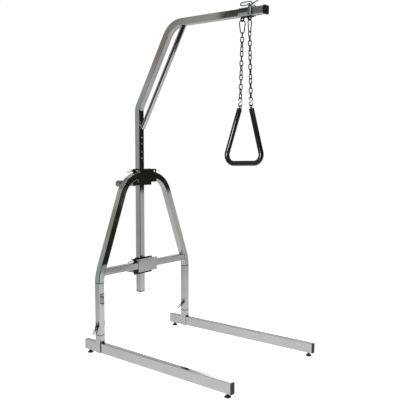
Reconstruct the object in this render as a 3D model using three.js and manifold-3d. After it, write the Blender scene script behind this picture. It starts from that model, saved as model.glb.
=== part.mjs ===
// A free-standing bed trapeze. Two floor rails on levelling feet carry an arched frame of square tube,
// a cranked mast is clamped to the arch and its crossbar, and a hand trapeze hangs from the boom.
// Millimetres, +Z up. The boom reaches towards -Y, and X runs across the bed.
import * as THREE from 'three';
import { mergeVertices } from 'three/addons/utils/BufferGeometryUtils.js';
import Module from 'manifold-3d';

const wasm = await Module();
wasm.setup();

// Driving dimensions: stock and fits
const TUBE = 35;
const TUBE_WALL = 2;
const TUBE_CORNER = 2.5;
const GAP = 0.3;
const OVERRUN = 4;
const ROUND_SIDES = 14;
const WIRE_SIDES = 6;
const LINK_SIDES = 5;
const SMALL_SIDES = 10;
const TUBE_BEND_STEPS = 9;
const CORNER_STEPS = 1;

// Driving dimensions: floor rails and feet
const RAIL_WIDTH = 25.4;
const RAIL_HEIGHT = 50.8;
const RAIL_WALL = 2;
const RAIL_CORNER = 2.4;
const RAIL_LENGTH = 960;
const RAIL_SPAN = 661;
const RAIL_TOE = Math.PI / 180;
const RAIL_REAR = 105;
const RAIL_CLEARANCE = 18;
const PLUG_FLANGE = 3.5;
const PLUG_DEPTH = 18;
const FOOT_INSET = 27;
const FOOT_RADIUS = 15;
const FOOT_PAD = 5;
const FOOT_STEM_RADIUS = 5;
const FOOT_STEM = 46;

// Driving dimensions: legs, arch and crossbar
const STUB_TOP = 108;
const STUB_WALL = 2.8;
const SADDLE_RISE = 9;
const SPIGOT_TOP = 196;
const SPIGOT_WALL = 2.4;
const LEG_TOP = 376;
const SPLICE_LENGTH = 60;
const SPLICE_RISE = 5;
const ARCH_SHOULDER = 411;
const ARCH_TOP = 916;
const ARCH_TOP_HALF = 137.5;
const ARCH_LOW_BEND = 180;
const ARCH_TOP_BEND = 136;
const CROSSBAR_HEIGHT = 428.6;
const LEG_PIN_HEIGHT = 152;
const LEG_PIN_RADIUS = 4.8;
const LEG_PIN_REACH = 16;
const LEG_PIN_TAIL = 13;
const LEG_PIN_CLIP_REACH = 7;
const LEG_PIN_HANDLE = 20;
const LEG_CLIP_LOOP = 46;
const LEFT_CLIP_TILT = Math.PI * 0.37;
const RIGHT_CLIP_TILT = Math.PI * 0.3;
const LEFT_HANDLE_TURN = -Math.PI * 0.55;
const RIGHT_HANDLE_TURN = Math.PI * 0.8;

// Driving dimensions: the two mast clamps
const CLAMP_WIDTH = 140;
const CLAMP_FRONT_HEIGHT = 71;
const CLAMP_FRONT_PLATE = 3;
const CLAMP_REAR_PLATE = 3;
const CLAMP_REAR_TOP = 36;
const CLAMP_REAR_DROP = 54;
const CLAMP_CORNER = 5;
const CLAMP_CHEEK = 3;
const CLAMP_LEDGE_WIDTH = 84;
const CLAMP_HOLE_RADIUS = 5.8;
const CLAMP_HOLE_HALF = 55;
const CLAMP_HOLE_RISE = 23.5;
const CLAMP_PIN_HEAD_RADIUS = 7.6;
const CLAMP_PIN_HEAD = 3.5;
const CLAMP_PIN_TAIL = 15;
const CLAMP_CLIP_TILT = -Math.PI / 30;
const SCREW_DROP = 51;
const SCREW_RADIUS = 6;
const NUT_RADIUS = 11;
const NUT_LENGTH = 12;
const KNOB_NECK_RADIUS = 11;
const KNOB_NECK = 96;
const KNOB_BORE = 22;
const KNOB_RADIUS = 19;
const KNOB_LENGTH = 39;
const KNOB_LOBES = 7;
const KNOB_FLUTE = 1.6;
const KNOB_ROUND = 3;

// Driving dimensions: mast, boom and brace
const MAST_BOTTOM = 276;
const MAST_SEAM = 1068;
const MAST_KNEE = 1279;
const MAST_KNEE_BEND = 62;
const ELBOW_REACH = 246.5;
const ELBOW_HEIGHT = 1699.5;
const ELBOW_BEND = 114;
const BOOM_OVERHANG = 112;
const BOOM_FALL_ANGLE = 0.0287;
const MAST_PLUG_FLANGE = 2.4;
const MAST_PLUG_DOME = 5;
const BOOM_CAP_WALL = 1.6;
const BOOM_CAP_SLEEVE = 7;
const BOOM_HOLE_INSET = 41;
const BOOM_HOLE_RADIUS = 5.5;
const BRACE_RADIUS = 13.5;
const BRACE_WALL = 1.6;
const BRACE_FOOT = 1160;
const BRACE_TOE = 1167;
const BRACE_REACH = 323;
const SPLICE_SCREW_NEAR = 22;
const SPLICE_SCREW_FAR = 56;
const SPLICE_HEAD_RADIUS = 5.8;
const SPLICE_HEAD = 2.6;
const SPLICE_SHANK_RADIUS = 2.6;
const MAST_SPLICE_LENGTH = 150;

// Driving dimensions: hanger, chains and hand trapeze
const HANGER_REACH = 707;
const HANGER_SLEEVE = 74;
const HANGER_SLEEVE_SHIFT = 6;
const HANGER_SLEEVE_WALL = 2.5;
const HANGER_STRAP_WIDTH = 10;
const HANGER_STRAP = 3;
const HANGER_STRAP_SHIFT = 31;
const HANGER_PIN_RADIUS = 4.5;
const HANGER_PIN_RISE = 26;
const HANGER_EAR_RISE = 34;
const HANGER_PIN_TAIL = 9;
const HANGER_PIN_HEAD = 3.5;
const HANGER_PIN_HEAD_RADIUS = 7;
const FLANGE_HALF_WIDTH = 15;
const FLANGE_LENGTH = 42;
const FLANGE_SHIFT = 14;
const FLANGE_THICKNESS = 3.5;
const YOKE_THICKNESS = 4;
const YOKE_DROP = 30;
const YOKE_EYE_RADIUS = 5.5;
const YOKE_LOBE_RADIUS = 10.5;
const EYE_HALF_SPACING = 21;
const SNAP_WIRE = 5;
const SNAP_LENGTH = 65;
const SNAP_TOP_HALF = 15.5;
const SNAP_LOW_HALF = 8;
const LINK_WIRE = 4.5;
const LINK_PITCH = 21.8;
const LINK_WIDTH = 13.5;
const LINK_COUNT = 14;
const LINK_TWIST = Math.PI / 10;
const LINK_SEAT = 1;
const HOOK_WIRE = 4.5;
const HOOK_LENGTH = 42;
const HOOK_RADIUS = 9.5;
const HOOK_MOUTH = 1.1;
const HOOK_TURN = Math.PI * 0.89;
const EYE_WIRE = 4.5;
const EYE_RADIUS = 6.5;
const EYE_SHANK_RADIUS = 3.6;
const EYE_SHANK = 16;
const HANDLE_RADIUS = 11.6;
const HANDLE_TOP_HALF = 31;
const HANDLE_LOW_HALF = 117;
const HANDLE_HEIGHT = 264;
const HANDLE_BEND = 40;

// Driving dimensions: the wire clips
const CLIP_WIRE = 3.2;
const CLIP_TIP = 50;
const CLIP_LOOP = 30;
const CLIP_RISE = 14;
const CLIP_FLARE = 24;
const HANGER_CLIP_WIRE = 3.8;
const HANGER_CLIP_TIP = 28;
const HANGER_CLIP_LOOP = 43;
const HANGER_CLIP_RISE = 13.5;
const HANGER_CLIP_HEEL = 20;
const HANGER_CLIP_FLARE = 54;

// Places worked out from the sizes above
const half = TUBE / 2;
const railTop = RAIL_CLEARANCE + RAIL_HEIGHT;
const legX = RAIL_SPAN / 2;
const spigotWidth = TUBE - 2 * (STUB_WALL + GAP);
const mastBack = half + GAP + CLAMP_REAR_PLATE + GAP + TUBE;
const mastY = mastBack - half;
const screwStart = mastBack + GAP;
const neckStart = screwStart + CLAMP_CHEEK + NUT_LENGTH + KNOB_BORE / 2;
const knobEnd = neckStart + KNOB_NECK + KNOB_LENGTH;
const railReach = (RAIL_LENGTH - RAIL_REAR) * Math.cos(RAIL_TOE) + (RAIL_WIDTH / 2) * Math.sin(RAIL_TOE);
const centreShift = (railReach - knobEnd) / 2;
const boomFall = Math.tan(BOOM_FALL_ANGLE);
const X_AXIS = new THREE.Vector3(1, 0, 0);
const Y_AXIS = new THREE.Vector3(0, 1, 0);
const Z_AXIS = new THREE.Vector3(0, 0, 1);

// Materials
const chrome = metal('chrome', 0xc9ccce, 0.12);
const darkChrome = metal('dark_chrome', 0x8b8e8f, 0.2);
const wireSteel = metal('wire_steel', 0xa9adaf, 0.3);
const blackSteel = metal('black_steel', 0x18191a, 0.5);
const blackPlastic = plastic('black_plastic', 0x151515, 0.55);
const vinyl = plastic('vinyl', 0x101010, 0.18);

function metal(name, color, roughness) {
  return new THREE.MeshStandardMaterial({ name, color, roughness, metalness: 1 });
}

function plastic(name, color, roughness) {
  return new THREE.MeshStandardMaterial({ name, color, roughness });
}

// A flat route of straight runs joined by round bends. Stations stand only where a run ends and round
// each bend, and the section's x axis stays square to the route's plane.
class BentRoute extends THREE.Curve {
  constructor(corners, radii, side, closed = false, bendSteps = 4) {
    super();
    this.side = side;
    this.places = [];
    this.directions = [];
    const count = corners.length;
    const first = closed ? 0 : 1;
    const last = closed ? count : count - 1;
    if (!closed) this.addStation(corners[0], corners[1].clone().sub(corners[0]).normalize());
    for (let i = first; i < last; i++) {
      const corner = corners[i];
      const into = corner.clone().sub(corners[(i + count - 1) % count]).normalize();
      const out = corners[(i + 1) % count].clone().sub(corner).normalize();
      const radius = Array.isArray(radii) ? radii[i - first] : radii;
      this.addBend(corner, into, out, radius, bendSteps);
    }
    if (closed) this.addStation(this.places[0], this.directions[0]);
    else this.addStation(corners[count - 1], corners[count - 1].clone().sub(corners[count - 2]).normalize());
  }

  addStation(place, direction) {
    const previous = this.places[this.places.length - 1];
    if (previous && previous.distanceTo(place) < GAP / 100) return;
    this.places.push(place.clone());
    this.directions.push(direction.clone());
  }

  addBend(corner, into, out, radius, bendSteps) {
    const turn = into.angleTo(out);
    const start = corner.clone().addScaledVector(into, -radius * Math.tan(turn / 2));
    const inward = out.clone().addScaledVector(into, -into.dot(out)).normalize();
    const steps = Math.max(2, Math.ceil((bendSteps * turn) / (Math.PI / 2)));
    for (let k = 0; k <= steps; k++) {
      const angle = (turn * k) / steps;
      const place = start.clone().addScaledVector(into, radius * Math.sin(angle));
      place.addScaledVector(inward, radius * (1 - Math.cos(angle)));
      const direction = into.clone().multiplyScalar(Math.cos(angle)).addScaledVector(inward, Math.sin(angle));
      this.addStation(place, direction);
    }
  }

  get steps() {
    return this.places.length - 1;
  }

  getPoint(t) {
    const at = Math.min(t * this.steps, this.steps);
    const below = Math.min(Math.floor(at), this.steps - 1);
    return this.places[below].clone().lerp(this.places[below + 1], at - below);
  }

  getPointAt(u) {
    return this.getPoint(u);
  }

  computeFrenetFrames() {
    const normals = this.places.map(() => this.side.clone());
    const binormals = this.directions.map((direction) => direction.clone().cross(this.side));
    return { tangents: this.directions, normals, binormals };
  }
}

// Sections
function roundedRectangle(width, height, radius) {
  const x = width / 2 - radius;
  const y = height / 2 - radius;
  const shape = new THREE.Shape();
  shape.absarc(x, y, radius, 0, Math.PI / 2);
  shape.absarc(-x, y, radius, Math.PI / 2, Math.PI);
  shape.absarc(-x, -y, radius, Math.PI, Math.PI * 1.5);
  shape.absarc(x, -y, radius, Math.PI * 1.5, Math.PI * 2);
  shape.closePath();
  return shape;
}

function hollowSection(width, height, wall, radius) {
  const shape = roundedRectangle(width, height, radius);
  const x = width / 2 - wall;
  const y = height / 2 - wall;
  shape.holes.push(new THREE.Path([[-x, -y], [-x, y], [x, y], [x, -y]].map((p) => new THREE.Vector2(...p))));
  return shape;
}

function polygon(radius, sides) {
  const centre = new THREE.Vector2();
  const corner = (i) => new THREE.Vector2(radius, 0).rotateAround(centre, (i * 2 * Math.PI) / sides);
  return new THREE.Shape(Array.from({ length: sides }, (_, i) => corner(i)));
}

const tubeSection = () => hollowSection(TUBE, TUBE, TUBE_WALL, TUBE_CORNER);
const tubeEnvelope = () => roundedRectangle(TUBE + 2 * GAP, TUBE + 2 * GAP, TUBE_CORNER + GAP);

// Solids
function sweep(shape, route) {
  const options = { extrudePath: route, steps: route.steps, curveSegments: CORNER_STEPS };
  return new THREE.ExtrudeGeometry(shape, options);
}

// A wire that closes on itself: the two flat ends are left off, and the first ring meets the last.
function sweepLoop(shape, route) {
  const whole = sweep(shape, route);
  const sides = whole.groups[1];
  const loop = new THREE.BufferGeometry();
  const size = whole.getAttribute('position').itemSize;
  const end = (sides.start + sides.count) * size;
  const numbers = whole.getAttribute('position').array.slice(sides.start * size, end);
  loop.setAttribute('position', new THREE.BufferAttribute(numbers, size));
  return loop;
}

function straight(from, to, side) {
  return new BentRoute([from, to], 0, side);
}

function rod(from, to, radius, sides = ROUND_SIDES) {
  const along = to.clone().sub(from);
  const geometry = new THREE.CylinderGeometry(radius, radius, along.length(), sides);
  geometry.applyQuaternion(new THREE.Quaternion().setFromUnitVectors(Y_AXIS, along.clone().normalize()));
  const middle = from.clone().addScaledVector(along, 1 / 2);
  return geometry.translate(middle.x, middle.y, middle.z);
}

function block(x0, x1, y0, y1, z0, z1) {
  const geometry = new THREE.BoxGeometry(x1 - x0, y1 - y0, z1 - z0);
  return geometry.translate((x0 + x1) / 2, (y0 + y1) / 2, (z0 + z1) / 2);
}

// A plate drawn in X and Z, with its rear face at the given Y and its front face nearer -Y.
function uprightPlate(shape, rear, thickness) {
  const options = { depth: thickness, bevelEnabled: false, curveSegments: 5 };
  const geometry = new THREE.ExtrudeGeometry(shape, options);
  return geometry.rotateX(Math.PI / 2).translate(0, rear, 0);
}

function roundHole(x, y, radius) {
  return new THREE.Path().absarc(x, y, radius, 0, Math.PI * 2, true);
}

function toSolid(geometry) {
  const bare = new THREE.BufferGeometry();
  bare.setAttribute('position', geometry.getAttribute('position'));
  bare.setIndex(geometry.getIndex());
  const merged = mergeVertices(bare, GAP / 1000);
  const vertProperties = merged.getAttribute('position').array;
  return new wasm.Manifold(new wasm.Mesh({ numProp: 3, vertProperties, triVerts: merged.getIndex().array }));
}

function toGeometry(solid) {
  const mesh = solid.getMesh();
  const geometry = new THREE.BufferGeometry();
  geometry.setAttribute('position', new THREE.BufferAttribute(mesh.vertProperties, mesh.numProp));
  return geometry.setIndex(new THREE.BufferAttribute(mesh.triVerts, 1));
}

function join(...geometries) {
  return toGeometry(geometries.map(toSolid).reduce((whole, next) => whole.add(next)));
}

function cut(geometry, ...cutters) {
  return toGeometry(cutters.map(toSolid).reduce((whole, next) => whole.subtract(next), toSolid(geometry)));
}

function piece(name, geometry, material) {
  const mesh = new THREE.Mesh(geometry, material);
  mesh.name = name;
  return mesh;
}

function at(x, y, z, ...children) {
  const group = new THREE.Group();
  group.position.set(x, y, z);
  group.add(...children);
  return group;
}

const point = (x, y, z) => new THREE.Vector3(x, y, z);

// Floor rail: a rectangular tube with a hole through its bottom wall for each foot's stem.
const railFront = RAIL_REAR - RAIL_LENGTH;
const footPlaces = { rear: RAIL_REAR - FOOT_INSET, front: railFront + FOOT_INSET };

function railTube() {
  const inset = PLUG_FLANGE + GAP;
  const middle = RAIL_CLEARANCE + RAIL_HEIGHT / 2;
  const route = straight(point(0, RAIL_REAR - inset, middle), point(0, railFront + inset, middle), X_AXIS);
  const tube = sweep(hollowSection(RAIL_WIDTH, RAIL_HEIGHT, RAIL_WALL, RAIL_CORNER), route);
  const stemHole = (y) => {
    const from = point(0, y, RAIL_CLEARANCE - OVERRUN);
    return rod(from, point(0, y, RAIL_CLEARANCE + RAIL_WALL + OVERRUN), FOOT_STEM_RADIUS + GAP);
  };
  return cut(tube, stemHole(footPlaces.rear), stemHole(footPlaces.front));
}

// End plug: a flange the size of the rail and a stepped core that fits inside it, pointing along +Y.
function railPlug() {
  const flange = new THREE.ExtrudeGeometry(roundedRectangle(RAIL_WIDTH, RAIL_HEIGHT, RAIL_CORNER), {
    depth: PLUG_FLANGE, bevelEnabled: false, curveSegments: CORNER_STEPS,
  });
  const fit = 2 * (RAIL_WALL + GAP);
  const coreSection = roundedRectangle(RAIL_WIDTH - fit, RAIL_HEIGHT - fit, RAIL_WALL / 2);
  const core = new THREE.ExtrudeGeometry(coreSection, {
    depth: PLUG_FLANGE + PLUG_DEPTH, bevelEnabled: false, curveSegments: CORNER_STEPS,
  });
  return join(flange, core).rotateX(-Math.PI / 2);
}

// Levelling foot: a round pad, a cone and a stem that runs up through the rail's bottom wall.
function foot() {
  const neck = FOOT_STEM_RADIUS * 1.25;
  const profile = [
    [0, 0],
    [FOOT_RADIUS - FOOT_PAD / 5, 0],
    [FOOT_RADIUS, FOOT_PAD / 5],
    [FOOT_RADIUS, FOOT_PAD * 0.8],
    [FOOT_RADIUS * 0.85, FOOT_PAD],
    [neck, FOOT_PAD * 1.9],
    [neck, RAIL_CLEARANCE - GAP],
    [FOOT_STEM_RADIUS, RAIL_CLEARANCE - GAP],
    [FOOT_STEM_RADIUS, FOOT_STEM - FOOT_STEM_RADIUS / 5],
    [FOOT_STEM_RADIUS * 0.8, FOOT_STEM],
    [0, FOOT_STEM],
  ];
  const outline = profile.map(([r, z]) => new THREE.Vector2(r, z));
  return new THREE.LatheGeometry(outline, ROUND_SIDES).rotateX(Math.PI / 2);
}

// Leg stub: a saddle that straddles the rail, with a spigot that stands up inside the leg tube.
function legStub() {
  const outer = new THREE.ExtrudeGeometry(roundedRectangle(TUBE, TUBE, TUBE_CORNER), {
    depth: STUB_TOP - RAIL_CLEARANCE, bevelEnabled: false, curveSegments: CORNER_STEPS,
  }).translate(0, 0, RAIL_CLEARANCE);
  const saddleRoof = railTop + SADDLE_RISE;
  const spigot = new THREE.ExtrudeGeometry(roundedRectangle(spigotWidth, spigotWidth, TUBE_CORNER / 2), {
    depth: SPIGOT_TOP - saddleRoof, bevelEnabled: false, curveSegments: CORNER_STEPS,
  }).translate(0, 0, saddleRoof);
  const bore = spigotWidth / 2 - SPIGOT_WALL;
  const inside = block(-bore, bore, -bore, bore, RAIL_CLEARANCE, SPIGOT_TOP + OVERRUN);
  const slot = RAIL_WIDTH / 2 + GAP;
  const railSlot = block(-slot, slot, -half - OVERRUN, half + OVERRUN, RAIL_CLEARANCE - OVERRUN, saddleRoof);
  return cut(join(outer, spigot), inside, railSlot, legPinHole());
}

function legPinHole() {
  const reach = half + OVERRUN;
  return rod(point(-reach, 0, LEG_PIN_HEIGHT), point(reach, 0, LEG_PIN_HEIGHT), LEG_PIN_RADIUS + GAP);
}

function legTube() {
  const route = straight(point(0, 0, STUB_TOP + GAP), point(0, 0, LEG_TOP - GAP), X_AXIS);
  return cut(sweep(tubeSection(), route), legPinHole());
}

// Leg pin: a rod through leg and spigot, bent over into a short handle on its +X side.
function legPin(handleTurn, clipTilt) {
  const knee = half + LEG_PIN_REACH - LEG_PIN_RADIUS;
  const corners = [point(-half - LEG_PIN_TAIL, 0, 0), point(knee, 0, 0), point(knee, -LEG_PIN_HANDLE, 0)];
  const route = new BentRoute(corners, 1.6 * LEG_PIN_RADIUS, Z_AXIS);
  const bent = sweep(polygon(LEG_PIN_RADIUS, SMALL_SIDES), route);
  const reach = LEG_PIN_RADIUS + OVERRUN;
  const hole = rod(point(0, -reach, 0), point(0, reach, 0), CLIP_WIRE / 2 + GAP, WIRE_SIDES);
  return cut(bent.rotateX(handleTurn), hole.rotateX(-clipTilt).translate(legClipX, 0, 0));
}

const legClipX = -half - LEG_PIN_CLIP_REACH;

// Wire clip, drawn in X and Z with the pin's centre at the origin and the pin along Y. The straight leg
// runs through the pin from -X to the loop at +X, and the bowed leg comes back over the pin.
function wireClip(wire, pinRadius, tip, loop, rise, flare) {
  const over = pinRadius + wire / 2 + 4 * GAP;
  const foot = wire + 3 * GAP;
  const shoulder = over * 1.1;
  const corners = [
    point(-tip, 0, 0),
    point(loop, 0, 0),
    point(loop, 0, rise),
    point(shoulder + wire, 0, foot),
    point(shoulder, 0, foot),
    point(over / 2, 0, over),
    point(-over / 2, 0, over),
    point(-shoulder, 0, foot),
    point(-shoulder - wire, 0, foot),
    point(-flare, 0, rise),
  ];
  const loopBend = rise * 0.38;
  const smallBend = wire * 0.55;
  const bends = [loopBend, loopBend, smallBend, smallBend, smallBend, smallBend, smallBend, smallBend];
  return sweep(polygon(wire / 2, WIRE_SIDES), new BentRoute(corners, bends, Y_AXIS, false, 3));
}

// Arch: vertical feet, slanted sides and a round-shouldered top, bent from one tube.
function archRoute() {
  const corners = [
    point(-legX, 0, LEG_TOP + GAP),
    point(-legX, 0, ARCH_SHOULDER),
    point(-ARCH_TOP_HALF, 0, ARCH_TOP),
    point(ARCH_TOP_HALF, 0, ARCH_TOP),
    point(legX, 0, ARCH_SHOULDER),
    point(legX, 0, LEG_TOP + GAP),
  ];
  const bends = [ARCH_LOW_BEND, ARCH_TOP_BEND, ARCH_TOP_BEND, ARCH_LOW_BEND];
  return new BentRoute(corners, bends, Y_AXIS, false, TUBE_BEND_STEPS);
}

// A sleeve inside the joint between two tubes, with a gap all round
function sleeveInside(length, centre, gap = GAP) {
  const width = TUBE - 2 * (TUBE_WALL + gap);
  const route = straight(point(0, 0, centre - length / 2), point(0, 0, centre + length / 2), X_AXIS);
  return sweep(hollowSection(width, width, TUBE_WALL, TUBE_CORNER / 2), route);
}

// Splice between leg and arch, carried by the leg, with room to turn in the arch by the rails' toe-out
function legSplice() {
  const room = GAP + half * Math.sin(RAIL_TOE);
  return sleeveInside(SPLICE_LENGTH, LEG_TOP + SPLICE_RISE - SPLICE_LENGTH / 2, room);
}

// Half the distance between the arch's two centre lines at a height
function archReach(height) {
  const { places } = archRoute();
  const above = places.findIndex((place) => place.z > height);
  const [low, high] = [places[above - 1], places[above]];
  return -THREE.MathUtils.mapLinear(height, low.z, high.z, low.x, high.x);
}

// Crossbar: a straight tube coped to the arch at both ends.
function crossbar() {
  const reach = archReach(CROSSBAR_HEIGHT);
  const route = straight(point(-reach, 0, CROSSBAR_HEIGHT), point(reach, 0, CROSSBAR_HEIGHT), Y_AXIS);
  return cut(sweep(tubeSection(), route), sweep(tubeEnvelope(), archRoute()));
}

// Clamps, each drawn round the centre of the cross tube that it grips
function clampFrontPlate() {
  const shape = roundedRectangle(CLAMP_WIDTH, CLAMP_FRONT_HEIGHT, CLAMP_CORNER);
  for (const side of [-1, 1]) {
    shape.holes.push(roundHole(side * CLAMP_HOLE_HALF, CLAMP_HOLE_RISE, CLAMP_HOLE_RADIUS));
  }
  return uprightPlate(shape, -half - GAP, CLAMP_FRONT_PLATE);
}

// Rear bracket: a back plate, a ledge under the cross tube, and a channel round the mast with a nut.
function clampRearBracket() {
  const height = CLAMP_REAR_TOP + CLAMP_REAR_DROP;
  const shape = roundedRectangle(CLAMP_WIDTH, height, CLAMP_CORNER);
  const middle = (CLAMP_REAR_TOP - CLAMP_REAR_DROP) / 2;
  for (const side of [-1, 1]) {
    shape.holes.push(roundHole(side * CLAMP_HOLE_HALF, CLAMP_HOLE_RISE - middle, CLAMP_HOLE_RADIUS));
  }
  const plateBack = half + GAP + CLAMP_REAR_PLATE;
  const plate = uprightPlate(shape, plateBack, CLAMP_REAR_PLATE).translate(0, 0, middle);
  const ledgeTop = -half - GAP;
  const ledgeHalf = CLAMP_LEDGE_WIDTH / 2;
  const ledge = block(-ledgeHalf, ledgeHalf, -half, plateBack - 1 * GAP, ledgeTop - CLAMP_CHEEK, ledgeTop);
  const inner = half + GAP;
  const outer = inner + CLAMP_CHEEK;
  const back = mastBack + GAP + CLAMP_CHEEK;
  const channel = block(-outer, outer, plateBack - GAP, back, -CLAMP_REAR_DROP, CLAMP_REAR_TOP - CLAMP_CORNER);
  const passage = block(
    -inner, inner, plateBack, mastBack + GAP, -CLAMP_REAR_DROP - OVERRUN, CLAMP_REAR_TOP + OVERRUN,
  );
  const nut = rod(point(0, back - GAP, -SCREW_DROP), point(0, back + NUT_LENGTH, -SCREW_DROP), NUT_RADIUS, 6);
  const thread = rod(
    point(0, mastBack - OVERRUN, -SCREW_DROP), point(0, back + NUT_LENGTH + OVERRUN, -SCREW_DROP),
    SCREW_RADIUS + GAP,
  );
  return cut(join(plate, ledge, channel, nut), passage, thread);
}

// Clamp screw and its knob, drawn along +Y from the mast's back face
function clampScrew() {
  return rod(point(0, screwStart, 0), point(0, neckStart + KNOB_BORE, 0), SCREW_RADIUS);
}

function clampKnob() {
  const grip = new THREE.Shape(
    Array.from({ length: KNOB_LOBES * 4 }, (_, i) => {
      const angle = (i * 2 * Math.PI) / (KNOB_LOBES * 4);
      const radius = KNOB_RADIUS - KNOB_ROUND - KNOB_FLUTE * (1 - Math.cos(KNOB_LOBES * angle)) / 2;
      return new THREE.Vector2(radius * Math.cos(angle), radius * Math.sin(angle));
    }),
  );
  const rounding = { bevelEnabled: true, bevelThickness: KNOB_ROUND, bevelSize: KNOB_ROUND, bevelSegments: 2 };
  const body = new THREE.ExtrudeGeometry(grip, { depth: KNOB_LENGTH - 2 * KNOB_ROUND, steps: 1, ...rounding });
  body.rotateX(-Math.PI / 2).translate(0, neckStart + KNOB_NECK + KNOB_ROUND, 0);
  const neck = rod(point(0, neckStart, 0), point(0, neckStart + KNOB_NECK + KNOB_ROUND, 0), KNOB_NECK_RADIUS);
  const bore = rod(
    point(0, neckStart - OVERRUN, 0), point(0, neckStart + KNOB_BORE + GAP, 0), SCREW_RADIUS + GAP,
  );
  return cut(join(body, neck), bore);
}

const clampPinTail = half + GAP + CLAMP_REAR_PLATE + CLAMP_PIN_TAIL;
const clampClipY = clampPinTail - CLAMP_PIN_TAIL / 2;
const clampPinRadius = CLAMP_HOLE_RADIUS - GAP;

function clampPin() {
  const face = -half - GAP - CLAMP_FRONT_PLATE - GAP;
  const shank = rod(point(0, face, 0), point(0, clampPinTail, 0), clampPinRadius);
  const head = rod(point(0, face - CLAMP_PIN_HEAD, 0), point(0, face + GAP / 2, 0), CLAMP_PIN_HEAD_RADIUS);
  const reach = clampPinRadius + OVERRUN;
  const hole = rod(point(-reach, 0, 0), point(reach, 0, 0), CLIP_WIRE / 2 + GAP, WIRE_SIDES);
  return cut(join(shank, head), hole.rotateY(CLAMP_CLIP_TILT).translate(0, clampClipY, 0));
}

function clamp(name, height) {
  const pin = at(-CLAMP_HOLE_HALF, 0, CLAMP_HOLE_RISE, piece(`${name}_clamp_pin`, clampPin(), chrome));
  const clip = piece(`${name}_clamp_clip`, clampClip(), wireSteel);
  const turnedClip = at(-CLAMP_HOLE_HALF, clampClipY, CLAMP_HOLE_RISE, clip);
  turnedClip.rotation.y = CLAMP_CLIP_TILT;
  const screw = piece(`${name}_clamp_screw`, clampScrew(), chrome);
  const knob = piece(`${name}_clamp_knob`, clampKnob(), darkChrome);
  return at(
    0, 0, height,
    piece(`${name}_clamp_plate`, clampFrontPlate(), chrome),
    piece(`${name}_clamp_bracket`, clampRearBracket(), blackSteel),
    pin,
    turnedClip,
    at(0, 0, -SCREW_DROP, screw, knob),
  );
}

function clampClip() {
  return wireClip(CLIP_WIRE, clampPinRadius, CLIP_TIP, CLIP_LOOP, CLIP_RISE, CLIP_FLARE);
}

// Mast and boom: the upper tube runs up, leans forward at the knee and turns level at the elbow.
const boomEnd = -(HANGER_REACH + BOOM_OVERHANG);
const elbow = point(0, -ELBOW_REACH, ELBOW_HEIGHT);

function boomHeight(y) {
  return ELBOW_HEIGHT + (y + ELBOW_REACH) * boomFall;
}

function boomRoute() {
  const corners = [
    point(0, 0, MAST_SEAM + GAP),
    point(0, 0, MAST_KNEE),
    elbow,
    point(0, boomEnd, boomHeight(boomEnd)),
  ];
  return new BentRoute(corners, [MAST_KNEE_BEND, ELBOW_BEND], X_AXIS, false, TUBE_BEND_STEPS);
}

const spliceScrews = [-SPLICE_SCREW_FAR, -SPLICE_SCREW_NEAR, SPLICE_SCREW_NEAR, SPLICE_SCREW_FAR];

function screwHoles(radius) {
  return spliceScrews.map((rise) => {
    const height = MAST_SEAM + rise;
    const inside = point(0, -half + TUBE_WALL + OVERRUN / 2, height);
    return rod(point(0, -half - OVERRUN, height), inside, radius, SMALL_SIDES);
  });
}

function boomTube() {
  const holeY = boomEnd + BOOM_HOLE_INSET;
  const underside = boomHeight(holeY) - half;
  const spareHole = rod(
    point(0, holeY, underside - OVERRUN), point(0, holeY, underside + TUBE_WALL + OVERRUN),
    BOOM_HOLE_RADIUS, SMALL_SIDES,
  );
  return cut(sweep(tubeSection(), boomRoute()), ...screwHoles(SPLICE_SHANK_RADIUS + GAP), spareHole);
}

function lowerMast() {
  const route = straight(point(0, 0, MAST_BOTTOM), point(0, 0, MAST_SEAM - GAP), X_AXIS);
  return cut(sweep(tubeSection(), route), ...screwHoles(SPLICE_SHANK_RADIUS + GAP));
}

// Domed screw head, rising towards -Y from the origin
function domedHead() {
  const profile = [
    [0, -GAP / 2],
    [SPLICE_HEAD_RADIUS, -GAP / 2],
    [SPLICE_HEAD_RADIUS, SPLICE_HEAD * 0.3],
    [SPLICE_HEAD_RADIUS * 0.8, SPLICE_HEAD * 0.75],
    [SPLICE_HEAD_RADIUS * 0.4, SPLICE_HEAD],
    [0, SPLICE_HEAD],
  ];
  const outline = profile.map(([r, rise]) => new THREE.Vector2(r, rise));
  return new THREE.LatheGeometry(outline, SMALL_SIDES).rotateX(Math.PI);
}

// Splice: a sleeve inside both mast tubes, with the four screws that hold it from the front.
function mastSplice() {
  const sleeve = sleeveInside(MAST_SPLICE_LENGTH, MAST_SEAM);
  const screws = spliceScrews.flatMap((rise) => {
    const height = MAST_SEAM + rise;
    const face = -half - GAP;
    const tip = point(0, -half + 2 * TUBE_WALL, height);
    const shank = rod(point(0, face, height), tip, SPLICE_SHANK_RADIUS, SMALL_SIDES);
    return [shank, domedHead().translate(0, face, height)];
  });
  return join(sleeve, ...screws);
}

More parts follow.
